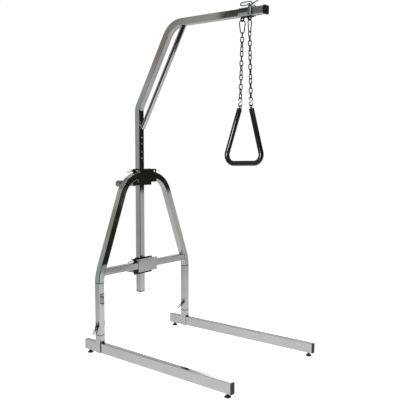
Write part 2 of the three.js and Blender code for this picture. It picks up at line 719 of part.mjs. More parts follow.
// Plug in the foot of the mast, with a shallow dome under its flange
function mastPlug() {
  const flange = new THREE.ExtrudeGeometry(roundedRectangle(TUBE, TUBE, TUBE_CORNER), {
    depth: MAST_PLUG_FLANGE, bevelEnabled: false, curveSegments: CORNER_STEPS,
  }).translate(0, 0, -MAST_PLUG_FLANGE);
  const inner = TUBE - 2 * (TUBE_WALL + GAP);
  const core = new THREE.ExtrudeGeometry(roundedRectangle(inner, inner, TUBE_CORNER / 2), {
    depth: PLUG_DEPTH + MAST_PLUG_FLANGE / 2, bevelEnabled: false, curveSegments: CORNER_STEPS,
  }).translate(0, 0, -MAST_PLUG_FLANGE / 2);
  const dome = new THREE.SphereGeometry(half * 0.9, ROUND_SIDES, 8, 0, Math.PI * 2, 0, Math.PI);
  dome.rotateX(Math.PI / 2).scale(1, 1, MAST_PLUG_DOME / (half * 0.9)).translate(0, 0, -MAST_PLUG_FLANGE);
  return join(flange, core, dome).translate(0, 0, MAST_BOTTOM - GAP);
}

// Cap over the boom's end: a sleeve and an end wall
function boomCap() {
  const outer = TUBE + 2 * (GAP + BOOM_CAP_WALL);
  const tip = BOOM_CAP_WALL + GAP;
  const shell = straight(point(0, -tip, 0), point(0, BOOM_CAP_SLEEVE, 0), X_AXIS);
  const space = straight(point(0, -GAP, 0), point(0, BOOM_CAP_SLEEVE + OVERRUN, 0), X_AXIS);
  return cut(
    sweep(roundedRectangle(outer, outer, TUBE_CORNER + BOOM_CAP_WALL), shell),
    sweep(tubeEnvelope(), space),
  );
}

// Brace: a round tube coped to the mast's front face below and to the boom's underside above. Its toe is
// cut off level.
function brace() {
  const low = point(0, -half, BRACE_FOOT);
  const high = point(0, -BRACE_REACH, boomHeight(-BRACE_REACH) - half);
  const along = high.clone().sub(low).normalize();
  const from = low.clone().addScaledVector(along, -half);
  const to = high.clone().addScaledVector(along, half);
  const bore = rod(
    from.clone().addScaledVector(along, -OVERRUN), to.clone().addScaledVector(along, OVERRUN),
    BRACE_RADIUS - BRACE_WALL,
  );
  const toe = block(-TUBE, TUBE, -TUBE * 2, TUBE, BRACE_FOOT - TUBE * 2, BRACE_TOE);
  return cut(rod(from, to, BRACE_RADIUS), bore, toe, sweep(tubeEnvelope(), boomRoute()));
}

// Hanger, drawn round the boom's centre line with +Y along the boom towards the mast
const sleeveHalf = half + GAP + HANGER_SLEEVE_WALL;
const sleeveMiddle = -HANGER_SLEEVE_SHIFT;

function hangerSleeve() {
  const ends = [sleeveMiddle - HANGER_SLEEVE / 2, sleeveMiddle + HANGER_SLEEVE / 2];
  const width = 2 * sleeveHalf;
  const section = hollowSection(width, width, HANGER_SLEEVE_WALL, TUBE_CORNER + HANGER_SLEEVE_WALL);
  const sleeve = sweep(section, straight(point(0, ends[0], 0), point(0, ends[1], 0), X_AXIS));
  const front = -HANGER_STRAP_SHIFT - HANGER_STRAP_WIDTH / 2;
  const rear = front + HANGER_STRAP_WIDTH;
  const outer = sleeveHalf + HANGER_STRAP;
  const straps = [-1, 1].map((side) => {
    const x = [side * (sleeveHalf - GAP), side * outer].sort((a, b) => a - b);
    return block(x[0], x[1], front, rear, -sleeveHalf + TUBE_CORNER, HANGER_EAR_RISE);
  });
  const reach = outer + OVERRUN;
  const pinHole = rod(
    point(-reach, -HANGER_STRAP_SHIFT, HANGER_PIN_RISE), point(reach, -HANGER_STRAP_SHIFT, HANGER_PIN_RISE),
    HANGER_PIN_RADIUS + GAP,
  );
  return cut(join(sleeve, ...straps), pinHole);
}

const hangerPinFace = sleeveHalf + HANGER_STRAP + GAP;

function hangerPin() {
  const tip = point(-hangerPinFace - HANGER_PIN_TAIL, 0, 0);
  const shank = rod(tip, point(hangerPinFace, 0, 0), HANGER_PIN_RADIUS);
  const head = rod(
    point(hangerPinFace - GAP / 2, 0, 0), point(hangerPinFace + HANGER_PIN_HEAD, 0, 0), HANGER_PIN_HEAD_RADIUS,
  );
  const reach = HANGER_PIN_RADIUS + OVERRUN;
  const hole = rod(point(0, -reach, 0), point(0, reach, 0), HANGER_CLIP_WIRE / 2 + GAP, WIRE_SIDES);
  return cut(join(shank, head), hole.translate(hangerClipX, 0, 0));
}

const hangerClipX = -hangerPinFace - HANGER_PIN_TAIL / 2;

// Hanger clip: a long hairpin whose upper leg passes high over the pin and ends in an upturned toe.
function hangerClip() {
  const toe = HANGER_CLIP_WIRE + 3 * GAP;
  const corners = [
    point(-HANGER_CLIP_TIP, 0, 0),
    point(HANGER_CLIP_LOOP, 0, 0),
    point(HANGER_CLIP_LOOP, 0, HANGER_CLIP_RISE),
    point(-HANGER_CLIP_HEEL * 0.75, 0, HANGER_CLIP_RISE),
    point(-HANGER_CLIP_HEEL, 0, toe),
    point(-HANGER_CLIP_HEEL - HANGER_CLIP_WIRE * 2, 0, toe),
    point(-HANGER_CLIP_FLARE, 0, HANGER_CLIP_RISE),
  ];
  const loopBend = HANGER_CLIP_RISE * 0.45;
  const heelBend = HANGER_CLIP_WIRE * 1.2;
  const bends = [loopBend, loopBend, heelBend, heelBend, heelBend];
  const route = new BentRoute(corners, bends, Y_AXIS, false, 4);
  return sweep(polygon(HANGER_CLIP_WIRE / 2, WIRE_SIDES), route).rotateZ(Math.PI / 2);
}

// Yoke: a flange under the sleeve and an upright plate with an eye at each end for a snap link.
function hangerYoke(sleeveTilt) {
  const reach = EYE_HALF_SPACING + YOKE_LOBE_RADIUS;
  const plate = new THREE.Shape();
  plate.moveTo(reach * 0.7, 0);
  plate.lineTo(-reach * 0.7, 0);
  plate.lineTo(-reach, -YOKE_DROP);
  plate.absarc(-EYE_HALF_SPACING, -YOKE_DROP, YOKE_LOBE_RADIUS, Math.PI, Math.PI * 1.9);
  plate.absarc(0, -YOKE_DROP, EYE_HALF_SPACING - YOKE_LOBE_RADIUS, Math.PI, 0, true);
  plate.absarc(EYE_HALF_SPACING, -YOKE_DROP, YOKE_LOBE_RADIUS, Math.PI * 1.1, Math.PI * 2);
  plate.closePath();
  for (const side of [-1, 1]) {
    plate.holes.push(roundHole(side * EYE_HALF_SPACING, -YOKE_DROP, YOKE_EYE_RADIUS));
  }
  const options = { depth: YOKE_THICKNESS, bevelEnabled: false, curveSegments: 6 };
  const upright = new THREE.ExtrudeGeometry(plate, options);
  upright.rotateX(Math.PI / 2).rotateZ(Math.PI / 2).translate(-YOKE_THICKNESS / 2, 0, 0);
  const low = -sleeveHalf - FLANGE_THICKNESS;
  const flange = block(
    -FLANGE_HALF_WIDTH, FLANGE_HALF_WIDTH,
    -FLANGE_SHIFT - FLANGE_LENGTH / 2, -FLANGE_SHIFT + FLANGE_LENGTH / 2, low, -half,
  );
  const room = 2 * (sleeveHalf + GAP);
  const sleeveRoom = straight(point(0, -HANGER_SLEEVE, 0), point(0, HANGER_SLEEVE, 0), X_AXIS);
  const sleeveBlock = sweep(roundedRectangle(room, room, TUBE_CORNER), sleeveRoom).rotateX(sleeveTilt);
  return cut(join(upright, flange), sleeveBlock);
}

// Snap link: a pear-shaped wire ring hanging from the yoke's eye, drawn in X and Z from its crown. Both
// ends are full rounds, so it can roll sideways through the eye.
const snapReach = SNAP_LENGTH - SNAP_WIRE;
const snapTaper = Math.atan2(SNAP_TOP_HALF - SNAP_LOW_HALF, snapReach);
const snapCrown = SNAP_TOP_HALF / Math.tan(Math.PI / 4 + snapTaper / 2);

function snapLink() {
  const corners = [
    point(-SNAP_TOP_HALF, 0, 0),
    point(SNAP_TOP_HALF, 0, 0),
    point(SNAP_LOW_HALF, 0, -snapReach),
    point(-SNAP_LOW_HALF, 0, -snapReach),
  ];
  const base = SNAP_LOW_HALF / Math.tan(Math.PI / 4 - snapTaper / 2);
  const route = new BentRoute(corners, [snapCrown, snapCrown, base, base], Y_AXIS, true, 4);
  return sweepLoop(polygon(SNAP_WIRE / 2, WIRE_SIDES), route);
}

// Chain: links turned a quarter each and a little more, because the chain hangs twisted, with each seated in
// the one above. It hangs down from the origin.
function chain() {
  const reach = LINK_WIDTH / 2;
  const long = LINK_PITCH + LINK_WIRE - LINK_SEAT;
  const corners = [point(0, -reach, 0), point(0, reach, 0), point(0, reach, -long), point(0, -reach, -long)];
  const route = new BentRoute(corners, reach, X_AXIS, true, 2);
  const links = Array.from({ length: LINK_COUNT }, (_, i) => {
    const link = sweepLoop(polygon(LINK_WIRE / 2, LINK_SIDES), route);
    return link.rotateZ(i * (Math.PI / 2 + LINK_TWIST)).translate(0, 0, -i * LINK_PITCH);
  });
  return join(...links);
}

const chainLength = LINK_COUNT * LINK_PITCH + LINK_WIRE - LINK_SEAT;

// S-hook between chain and handle, drawn in X and Z down from the crown of its upper bend.
function hook() {
  const shape = polygon(HOOK_WIRE / 2, WIRE_SIDES);
  const r = HOOK_RADIUS;
  const low = -HOOK_LENGTH;
  const mouth = r * HOOK_MOUTH;
  const corners = [
    point(r, 0, -mouth * 1.4),
    point(r, 0, 0),
    point(-r, 0, 0),
    point(-r, 0, -mouth - r * 0.3),
    point(r, 0, low + mouth + r * 0.3),
    point(r, 0, low),
    point(-r, 0, low),
    point(-r, 0, low + mouth * 1.4),
  ];
  return sweep(shape, new BentRoute(corners, [r, r, r * 0.6, r * 0.6, r, r], Y_AXIS, false, 3));
}

// Handle: a vinyl-covered triangle, open at the top, with an eye let into each end.
const trapezeMiddle = 0;
const handleSlope = Math.atan2(HANDLE_LOW_HALF - HANDLE_TOP_HALF, HANDLE_HEIGHT);

function handle() {
  const end = (side) => handleEnd(side);
  const corners = [
    end(1),
    point(0, HANDLE_LOW_HALF, -HANDLE_HEIGHT),
    point(0, -HANDLE_LOW_HALF, -HANDLE_HEIGHT),
    end(-1),
  ];
  const bar = sweep(polygon(HANDLE_RADIUS, ROUND_SIDES), new BentRoute(corners, HANDLE_BEND, X_AXIS, false, 7));
  const bores = [1, -1].map((side) => {
    const along = point(0, side * Math.sin(handleSlope), -Math.cos(handleSlope));
    const from = end(side).addScaledVector(along, -OVERRUN);
    return rod(from, end(side).addScaledVector(along, EYE_SHANK + GAP), EYE_SHANK_RADIUS + GAP, SMALL_SIDES);
  });
  return cut(bar, ...bores);
}

// The tube ends start this far down the side from the eye's centre.
function handleEnd(side) {
  const along = point(0, side * Math.sin(handleSlope), -Math.cos(handleSlope));
  return point(0, side * HANDLE_TOP_HALF, 0).addScaledVector(along, EYE_RADIUS + EYE_WIRE / 2 + GAP);
}

function handleEye() {
  const ring = new THREE.TorusGeometry(EYE_RADIUS, EYE_WIRE / 2, 8, ROUND_SIDES).rotateY(Math.PI / 2);
  const top = -EYE_RADIUS;
  const tip = point(0, 0, top - EYE_WIRE / 2 - EYE_SHANK);
  const shank = rod(point(0, 0, top), tip, EYE_SHANK_RADIUS, SMALL_SIDES);
  return join(ring, shank);
}

// Assembly of the standing frame
const trapeze = new THREE.Group();
trapeze.position.y = centreShift;

const plug = railPlug();
const levellingFoot = foot();
const sides = [
  ['left', -1, LEFT_HANDLE_TURN, LEFT_CLIP_TILT],
  ['right', 1, RIGHT_HANDLE_TURN, RIGHT_CLIP_TILT],
];
for (const [name, side, handleTurn, clipTilt] of sides) {
  const frontPlug = piece(`${name}_front_plug`, plug, blackPlastic);
  frontPlug.position.set(0, railFront, RAIL_CLEARANCE + RAIL_HEIGHT / 2);
  const rearPlug = piece(`${name}_rear_plug`, plug, blackPlastic);
  rearPlug.position.set(0, RAIL_REAR, RAIL_CLEARANCE + RAIL_HEIGHT / 2);
  rearPlug.rotation.z = Math.PI;
  const feet = Object.entries(footPlaces).map(([end, y]) => {
    return at(0, y, 0, piece(`${name}_${end}_foot`, levellingFoot, blackPlastic));
  });
  const pin = piece(`${name}_leg_pin`, legPin(handleTurn, clipTilt), wireSteel);
  const clip = piece(`${name}_leg_clip`, legClip(clipTilt), wireSteel);
  const leg = at(
    side * legX, 0, 0,
    piece(`${name}_rail`, railTube(), chrome),
    frontPlug,
    rearPlug,
    ...feet,
    piece(`${name}_leg_stub`, legStub(), chrome),
    piece(`${name}_leg_tube`, legTube(), chrome),
    piece(`${name}_leg_splice`, legSplice(), wireSteel),
    at(0, 0, LEG_PIN_HEIGHT, pin, clip),
  );
  leg.rotation.z = side * RAIL_TOE;
  trapeze.add(leg);
}

function legClip(clipTilt) {
  const clip = wireClip(CLIP_WIRE, LEG_PIN_RADIUS, CLIP_FLARE, LEG_CLIP_LOOP, CLIP_RISE, CLIP_FLARE);
  return clip.rotateZ(Math.PI / 2).rotateX(-clipTilt).translate(legClipX, 0, 0);
}

trapeze.add(
  piece('arch', sweep(tubeSection(), archRoute()), chrome),
  piece('crossbar', crossbar(), chrome),
  clamp('upper', ARCH_TOP),
  clamp('lower', CROSSBAR_HEIGHT),
);

// Assembly of the mast, placed behind the arch
const mast = at(
  0, mastY, 0,
  piece('lower_mast', lowerMast(), chrome),
  piece('mast_plug', mastPlug(), blackPlastic),
  piece('mast_splice', mastSplice(), wireSteel),
  piece('boom', boomTube(), chrome),
  piece('brace', brace(), chrome),
);
const capGroup = at(0, boomEnd, boomHeight(boomEnd), piece('boom_cap', boomCap(), blackPlastic));
capGroup.rotation.x = BOOM_FALL_ANGLE;
mast.add(capGroup);

const hangerCentre = point(0, -HANGER_REACH, boomHeight(-HANGER_REACH));
const hanger = at(
  hangerCentre.x, hangerCentre.y, hangerCentre.z,
  piece('hanger_sleeve', hangerSleeve(), chrome),
  at(0, -HANGER_STRAP_SHIFT, HANGER_PIN_RISE, piece('hanger_pin', hangerPin(), chrome)),
  at(hangerClipX, -HANGER_STRAP_SHIFT, HANGER_PIN_RISE, piece('hanger_clip', hangerClip(), wireSteel)),
);
hanger.rotation.x = BOOM_FALL_ANGLE;
mast.add(hanger);
mast.add(at(
  hangerCentre.x, hangerCentre.y, hangerCentre.z,
  piece('hanger_yoke', hangerYoke(BOOM_FALL_ANGLE), blackSteel),
));

// Assembly of the chains and handle, each side leaning out from its eye to the wider handle
const snapTop = -YOKE_DROP - YOKE_EYE_RADIUS + SNAP_WIRE / 2 + 2 * GAP;
const chainPivot = snapTop - SNAP_LENGTH + SNAP_WIRE;
const chainTop = (SNAP_WIRE + LINK_WIRE) / 2 + GAP;
const hookTop = chainTop - chainLength + (LINK_WIRE + HOOK_WIRE) / 2 + 2 * GAP;
const handleDrop = hookTop - HOOK_LENGTH;
const lean = Math.asin((HANDLE_TOP_HALF - EYE_HALF_SPACING) / -handleDrop);
const eyeCentre = handleDrop * Math.cos(lean) + (HOOK_WIRE + EYE_WIRE) / 2 + 2 * GAP - EYE_RADIUS;

for (const [name, side] of [['rear', 1], ['front', -1]]) {
  const run = at(
    0, 0, chainPivot,
    at(0, 0, chainTop, piece(`${name}_chain`, chain(), wireSteel)),
    at(0, 0, hookTop, piece(`${name}_hook`, hook().rotateZ(HOOK_TURN), wireSteel)),
  );
  run.rotation.x = side * lean;
  const snap = at(0, 0, snapTop, piece(`${name}_snap_link`, snapLink(), chrome));
  mast.add(at(hangerCentre.x, hangerCentre.y + side * EYE_HALF_SPACING, hangerCentre.z, snap, run));
}

const grip = at(
  hangerCentre.x, hangerCentre.y + trapezeMiddle, hangerCentre.z + chainPivot + eyeCentre,
  piece('handle', handle(), vinyl),
);
for (const [name, side] of [['rear', 1], ['front', -1]]) {
  const eye = piece(`${name}_handle_eye`, handleEye(), wireSteel);
  eye.rotation.x = side * handleSlope;
  grip.add(at(0, side * HANDLE_TOP_HALF, 0, eye));
}
mast.add(grip);
trapeze.add(mast);

export default trapeze;
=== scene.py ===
import bpy
import bmesh
import math
from mathutils import Matrix, Quaternion, Vector


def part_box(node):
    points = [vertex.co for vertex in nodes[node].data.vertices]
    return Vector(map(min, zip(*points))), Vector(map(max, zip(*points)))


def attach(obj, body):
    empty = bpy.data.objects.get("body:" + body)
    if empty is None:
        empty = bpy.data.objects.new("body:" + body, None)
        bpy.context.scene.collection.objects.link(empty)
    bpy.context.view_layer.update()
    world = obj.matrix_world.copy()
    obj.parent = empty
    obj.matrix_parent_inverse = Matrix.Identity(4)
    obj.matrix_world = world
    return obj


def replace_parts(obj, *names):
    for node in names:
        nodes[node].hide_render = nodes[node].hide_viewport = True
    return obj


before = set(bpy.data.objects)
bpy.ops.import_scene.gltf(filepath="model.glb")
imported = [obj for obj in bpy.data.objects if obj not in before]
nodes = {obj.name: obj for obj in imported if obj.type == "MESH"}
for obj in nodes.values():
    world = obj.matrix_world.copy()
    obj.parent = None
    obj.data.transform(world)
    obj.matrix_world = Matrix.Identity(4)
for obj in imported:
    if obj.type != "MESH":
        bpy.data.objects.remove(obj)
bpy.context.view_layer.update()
scene = bpy.context.scene
scene.view_settings.view_transform = "Standard"


# Camera: it stands in front of the stand's left rail, at about the height of the arch, and looks across
# the stand towards the mast. The lens gives the photograph's frame on a square picture.
CAMERA_PLACE = (-2.32095, -1.98857, 1.01648)
VIEW_AZIMUTH = math.radians(-50.447)
VIEW_DROP = math.radians(4.13)
SENSOR_WIDTH = 36
PICTURE_SIDE = 400
FOCAL_PIXELS = 597.23
camera = bpy.data.objects.new("camera", bpy.data.cameras.new("camera"))
camera.data.sensor_width = SENSOR_WIDTH
camera.data.sensor_fit = "HORIZONTAL"
camera.data.lens = FOCAL_PIXELS / PICTURE_SIDE * SENSOR_WIDTH
camera.location = CAMERA_PLACE
camera.rotation_euler = (math.pi / 2 - VIEW_DROP, 0, VIEW_AZIMUTH)
scene.collection.objects.link(camera)
scene.camera = camera


# Room: the polished tubes show the room round them as a mirror does, so it is drawn here as cards, by
# compass direction and height above the horizon. A later card covers an earlier one. Only the camera
# itself sees plain white in its place.
ROOM = (0.55, 0.54, 0.52)
DARK = (0.02, 0.02, 0.016)
CARDS = [
    # compass angle of the middle, half width, lowest, highest, softness, colour
    (-45, 14, -25, 8, 3, (0.41, 0.44, 0.46)),
    (0, 30, -25, 12, 6, (0.10, 0.10, 0.10)),
    (120, 45, -3.3, 90, 0.25, DARK),
    (142, 5.5, -11.3, 10, 0.25, DARK),
    (-45, 45, 8, 60, 2, (0.42, 0.40, 0.37)),
    (-16, 32.5, 8.5, 60, 1.5, (0.30, 0.27, 0.24)),
    (-37.5, 6.5, 10, 20, 0.5, (0.42, 0.46, 0.485)),
    (-37.5, 6.5, 20, 22.6, 0.5, (0.34, 0.355, 0.32)),
    (-37.5, 6.5, 22.6, 60, 0.5, (0.50, 0.46, 0.40)),
    (-64, 11.7, 12, 60, 0.25, (0.06, 0.06, 0.05)),
    (-65, 10, 12, 60, 0.8, (0.19, 0.20, 0.195)),
    (60, 9.5, 19, 50, 1.5, (1.4, 1.4, 1.4)),
    (50, 60, 60, 90, 8, (1.6, 1.6, 1.6)),
    (-135, 77, -90, 90, 1, DARK),
    (-150, 14, 38, 62, 2, (2.4, 2.4, 2.3)),
]
world = bpy.data.worlds.new("studio")
scene.world = world
world.use_nodes = True
sky = world.node_tree
sky.nodes.clear()


def lay(tree, kind, inputs=(), **settings):
    """Adds a node to a tree, sets it, and joins its inputs."""
    node = tree.nodes.new(kind)
    for name, value in settings.items():
        setattr(node, name, value)
    for socket, value in inputs:
        if isinstance(value, bpy.types.NodeSocket):
            tree.links.new(value, node.inputs[socket])
        else:
            node.inputs[socket].default_value = value
    return node


def sky_sum(operation, *values):
    """The result of one sum on the sky's numbers."""
    return lay(sky, "ShaderNodeMath", list(enumerate(values)), operation=operation).outputs[0]


def sky_step(value, edge, softness):
    """0 below the edge and 1 above it, with a smooth step between them."""
    ends = [(0, value), (1, edge - softness), (2, edge + softness)]
    return lay(sky, "ShaderNodeMapRange", ends, interpolation_type="SMOOTHSTEP").outputs[0]


ray = lay(sky, "ShaderNodeTexCoord").outputs["Generated"]
level = lay(sky, "ShaderNodeVectorMath", [(0, ray), (1, (1, 1, 0))], operation="MULTIPLY").outputs[0]
level = lay(sky, "ShaderNodeVectorMath", [(0, level)], operation="NORMALIZE").outputs[0]
height = sky_sum("ARCSINE", lay(sky, "ShaderNodeSeparateXYZ", [(0, ray)]).outputs[2])
colour = lay(sky, "ShaderNodeRGB").outputs[0]
colour.default_value = (*ROOM, 1)
for *angles, card in CARDS:
    compass, half_width, lowest, highest, softness = map(math.radians, angles)
    towards = (math.sin(compass), math.cos(compass), 0)
    along = lay(sky, "ShaderNodeVectorMath", [(0, level), (1, towards)], operation="DOT_PRODUCT")
    beside = sky_step(sky_sum("ARCCOSINE", along.outputs["Value"]), half_width, softness)
    above = sky_step(height, lowest, softness)
    over = sky_step(height, highest, softness)
    inside = sky_sum("MULTIPLY", sky_sum("SUBTRACT", 1.0, beside), above)
    inside = sky_sum("MULTIPLY", inside, sky_sum("SUBTRACT", 1.0, over))
    mixed = lay(sky, "ShaderNodeMix", [(0, inside), (6, colour), (7, (*card, 1))], data_type="RGBA")
    colour = mixed.outputs[2]
room_light = lay(sky, "ShaderNodeBackground", [(0, colour), (1, 1.0)]).outputs[0]
white = lay(sky, "ShaderNodeBackground", [(0, (1, 1, 1, 1)), (1, 1.0)]).outputs[0]
seen = lay(sky, "ShaderNodeLightPath").outputs["Is Camera Ray"]
backdrop = lay(sky, "ShaderNodeMixShader", [(0, seen), (1, room_light), (2, white)])
lay(sky, "ShaderNodeOutputWorld", [(0, backdrop.outputs[0])])


# Floor and lamps: a white cove of paper with a soft lamp on either side. In the polished tubes the paper
# shows as a glow of
# painted light: a painted pool of light that darkens away from the stand, and one darker patch of painted
# shade beyond the lamps.
FLOOR_HALF = 2.2
FLOOR_FRONT = 1.65
PAINTED_POOL_CENTRE = (-0.1, -0.45, 0)
PAINTED_SHADE_CENTRE = (1.28, -1.62, 0)
PAPER_GLOW = 0.72
LAMP_AIM = (0, 0, 0.8)
LAMPS = [
    # name, place, side of the square lamp, power
    ("key lamp", (-2.2, -2.6, 3.4), 1.6, 90),
    ("fill lamp", (2.6, -1.2, 2.6), 2.0, 50),
]
floor_mesh = bpy.data.meshes.new("floor")
floor_mesh.from_pydata(
    [
        (-FLOOR_HALF, -FLOOR_FRONT, 0), (FLOOR_HALF, -FLOOR_FRONT, 0),
        (FLOOR_HALF, FLOOR_HALF, 0), (-FLOOR_HALF, FLOOR_HALF, 0),
    ],
    [], [(0, 1, 2, 3)],
)
floor = bpy.data.objects.new("floor", floor_mesh)
scene.collection.objects.link(floor)
floor_paint = bpy.data.materials.new("floor paint")
floor_paint.use_nodes = True
paint = floor_paint.node_tree
paint.nodes.clear()
place = lay(paint, "ShaderNodeNewGeometry").outputs["Position"]


def painted_paper_light(centre, near, far, inner, outer):
    """The paper's painted brightness as the mirrors see it: inner up to near from the centre, outer beyond
    far.
    """
    away = lay(paint, "ShaderNodeVectorMath", [(0, place), (1, centre)], operation="DISTANCE")
    ends = [(0, away.outputs["Value"]), (1, near), (2, far), (3, inner), (4, outer)]
    return lay(paint, "ShaderNodeMapRange", ends).outputs[0]


# Painted light on the paper, seen only in the tubes: a pool of light round the stand, times one darker patch
# of shade.
painted_pool = painted_paper_light(PAINTED_POOL_CENTRE, 0.4, 2.4, 0.84, 0.48)
painted_shade_patch = painted_paper_light(PAINTED_SHADE_CENTRE, 0.26, 0.36, 0.66, 1.0)
shade = lay(paint, "ShaderNodeMath", [(0, painted_pool), (1, painted_shade_patch)], operation="MULTIPLY").outputs[0]
# The mirrors see this painted glow. The camera sees the even glow and the lamp-lit paper.
painted_mirror_glow = lay(paint, "ShaderNodeEmission", [(0, (1, 1, 1, 1)), (1, shade)]).outputs[0]
glow = lay(paint, "ShaderNodeEmission", [(0, (1, 1, 1, 1)), (1, PAPER_GLOW)]).outputs[0]
paper = lay(paint, "ShaderNodeBsdfDiffuse", [(0, (0.8, 0.8, 0.8, 1))]).outputs[0]
sweep = lay(paint, "ShaderNodeAddShader", [(0, glow), (1, paper)]).outputs[0]
seen = lay(paint, "ShaderNodeLightPath").outputs["Is Camera Ray"]
painted = lay(paint, "ShaderNodeMixShader", [(0, seen), (1, painted_mirror_glow), (2, sweep)])
lay(paint, "ShaderNodeOutputMaterial", [(0, painted.outputs[0])])
floor_mesh.materials.append(floor_paint)


def area_lamp(name, place, aim, size, power):
    """A soft lamp that points from its place to its aim, and that the camera doesn't see."""
    lamp = bpy.data.objects.new(name, bpy.data.lights.new(name, "AREA"))
    lamp.data.size = size
    lamp.data.energy = power
    lamp.location = place
    lamp.rotation_euler = (Vector(aim) - Vector(place)).to_track_quat("-Z", "Y").to_euler()
    lamp.visible_camera = False
    scene.collection.objects.link(lamp)
    return lamp


for name, lamp_place, size, power in LAMPS:
    area_lamp(name, lamp_place, LAMP_AIM, size, power).visible_glossy = False


# Floor rails: rectangular steel tube with a bright chrome plate, bought in and cut to length. The plate
# has faint handling marks and a slight waviness from the rolled steel under it.
WAVE_SCALE = 22.0
WAVE_HEIGHT = 0.2
PLATE_BUMP = 0.0004
WELD_DISTANCE = 1e-6
FLAT_LIMIT = math.radians(0.5)
handling = bpy.data.node_groups.new("handling marks", "ShaderNodeTree")
for socket, usual in (("Scale", 14.0), ("Smooth", 0.04), ("Dull", 0.12)):
    item = handling.interface.new_socket(socket, in_out="INPUT", socket_type="NodeSocketFloat")
    item.default_value = usual
for socket in ("Roughness", "Shade", "Height"):
    handling.interface.new_socket(socket, in_out="OUTPUT", socket_type="NodeSocketFloat")
given = lay(handling, "NodeGroupInput").outputs
where = lay(handling, "ShaderNodeTexCoord").outputs["Object"]
smears = lay(handling, "ShaderNodeTexNoise", [("Vector", where), ("Scale", given["Scale"]), ("Detail", 5.0)])
smears = smears.outputs[0]
patches = lay(handling, "ShaderNodeMapRange", [(0, smears), (1, 0.45), (2, 0.75), (3, 0.0), (4, 1.0)])
rough = lay(
    handling, "ShaderNodeMapRange", [(0, patches.outputs[0]), (3, given["Smooth"]), (4, given["Dull"])]
)
shade = lay(handling, "ShaderNodeMapRange", [(0, smears), (1, 0.3), (2, 0.7), (3, 0.93), (4, 1.0)])
waves = lay(handling, "ShaderNodeTexNoise", [("Vector", where), ("Scale", WAVE_SCALE), ("Detail", 1.0)])
wave = lay(handling, "ShaderNodeMath", [(0, waves.outputs[0]), (1, WAVE_HEIGHT)], operation="MULTIPLY")
lay(handling, "NodeGroupOutput", [
    ("Roughness", rough.outputs[0]), ("Shade", shade.outputs[0]), ("Height", wave.outputs[0]),
])


def plated(name, colour, smooth, dull, scale=14.0):
    """A polished or plated metal: its colour, how rough it is where clean and where handled."""
    material = bpy.data.materials.new(name)
    material.use_nodes = True
    tree = material.node_tree
    surface = tree.nodes["Principled BSDF"]
    surface.inputs["Metallic"].default_value = 1
    marks = lay(tree, "ShaderNodeGroup", node_tree=handling)
    for socket, value in (("Scale", scale), ("Smooth", smooth), ("Dull", dull)):
        marks.inputs[socket].default_value = value
    tint = lay(
        tree, "ShaderNodeMix", [(0, 1.0), (6, (*colour, 1)), (7, marks.outputs["Shade"])],
        data_type="RGBA", blend_type="MULTIPLY",
    )
    bump = lay(
        tree, "ShaderNodeBump",
        [("Strength", 0.15), ("Distance", PLATE_BUMP), ("Height", marks.outputs["Height"])],
    )
    tree.links.new(tint.outputs[2], surface.inputs["Base Color"])
    tree.links.new(marks.outputs["Roughness"], surface.inputs["Roughness"])
    tree.links.new(bump.outputs[0], surface.inputs["Normal"])
    return material


def rounded(name, crease):
    """A modifier's tree that shades facets as one, but keeps an edge that turns by over crease degrees."""
    tree = bpy.data.node_groups.new(name, "GeometryNodeTree")
    tree.is_modifier = True
    tree.interface.new_socket("Geometry", in_out="INPUT", socket_type="NodeSocketGeometry")
    tree.interface.new_socket("Geometry", in_out="OUTPUT", socket_type="NodeSocketGeometry")
    facets = lay(tree, "NodeGroupInput").outputs[0]
    joined = lay(tree, "GeometryNodeMergeByDistance", [(0, facets), (2, WELD_DISTANCE)]).outputs[0]
    turn = lay(tree, "GeometryNodeInputMeshEdgeAngle").outputs[0]
    soft = lay(tree, "FunctionNodeCompare", [(0, turn), (1, math.radians(crease))], operation="LESS_EQUAL")
    faces = lay(tree, "GeometryNodeSetShadeSmooth", [(0, joined), (2, True)], domain="FACE").outputs[0]
    edges = lay(tree, "GeometryNodeSetShadeSmooth", [(0, faces), (2, soft.outputs[0])], domain="EDGE")
    lay(tree, "NodeGroupOutput", [(0, edges.outputs[0])])
    return tree


folded = rounded("soft corners", 50)
drawn = rounded("round wire", 80)


def wear(material, *names, shading=folded):
    """Gives CAD nodes a material, and rounds their small facets, so that flat faces stay flat."""
    for name in names:
        node = nodes[name]
        node.material_slots[0].material = material
        node.modifiers.new("rounding", "NODES").node_group = shading
        whole = node.modifiers.new("whole faces", "DECIMATE")
        whole.decimate_type = "DISSOLVE"
        whole.angle_limit = FLAT_LIMIT
        weight = node.modifiers.new("flat faces", "WEIGHTED_NORMAL")
        weight.mode = "FACE_AREA"
        weight.weight = 100
        weight.keep_sharp = True


bright_chrome = plated("bright chrome", (0.62, 0.63, 0.62), 0.035, 0.09)
wear(bright_chrome, "left_rail", "right_rail")


# End plugs and levelling feet: black moulded plastic. The plugs are pushed into the rails and stand a
# few millimetres proud, and the feet turn on a threaded stem.
PLASTIC_GRAIN = 900.0
PLASTIC_BUMP = 0.0002
moulded = bpy.data.materials.new("moulded black plastic")
moulded.use_nodes = True
tree = moulded.node_tree
surface = tree.nodes["Principled BSDF"]
where = lay(tree, "ShaderNodeTexCoord").outputs["Object"]
grain = lay(tree, "ShaderNodeTexNoise", [("Vector", where), ("Scale", PLASTIC_GRAIN), ("Detail", 2.0)])
bump = lay(
    tree, "ShaderNodeBump", [("Strength", 0.25), ("Distance", PLASTIC_BUMP), ("Height", grain.outputs[0])]
)
cloud = lay(tree, "ShaderNodeTexNoise", [("Vector", where), ("Scale", 40.0), ("Detail", 3.0)])
rough = lay(tree, "ShaderNodeMapRange", [(0, cloud.outputs[0]), (3, 0.38), (4, 0.58)])
surface.inputs["Base Color"].default_value = (0.012, 0.012, 0.012, 1)
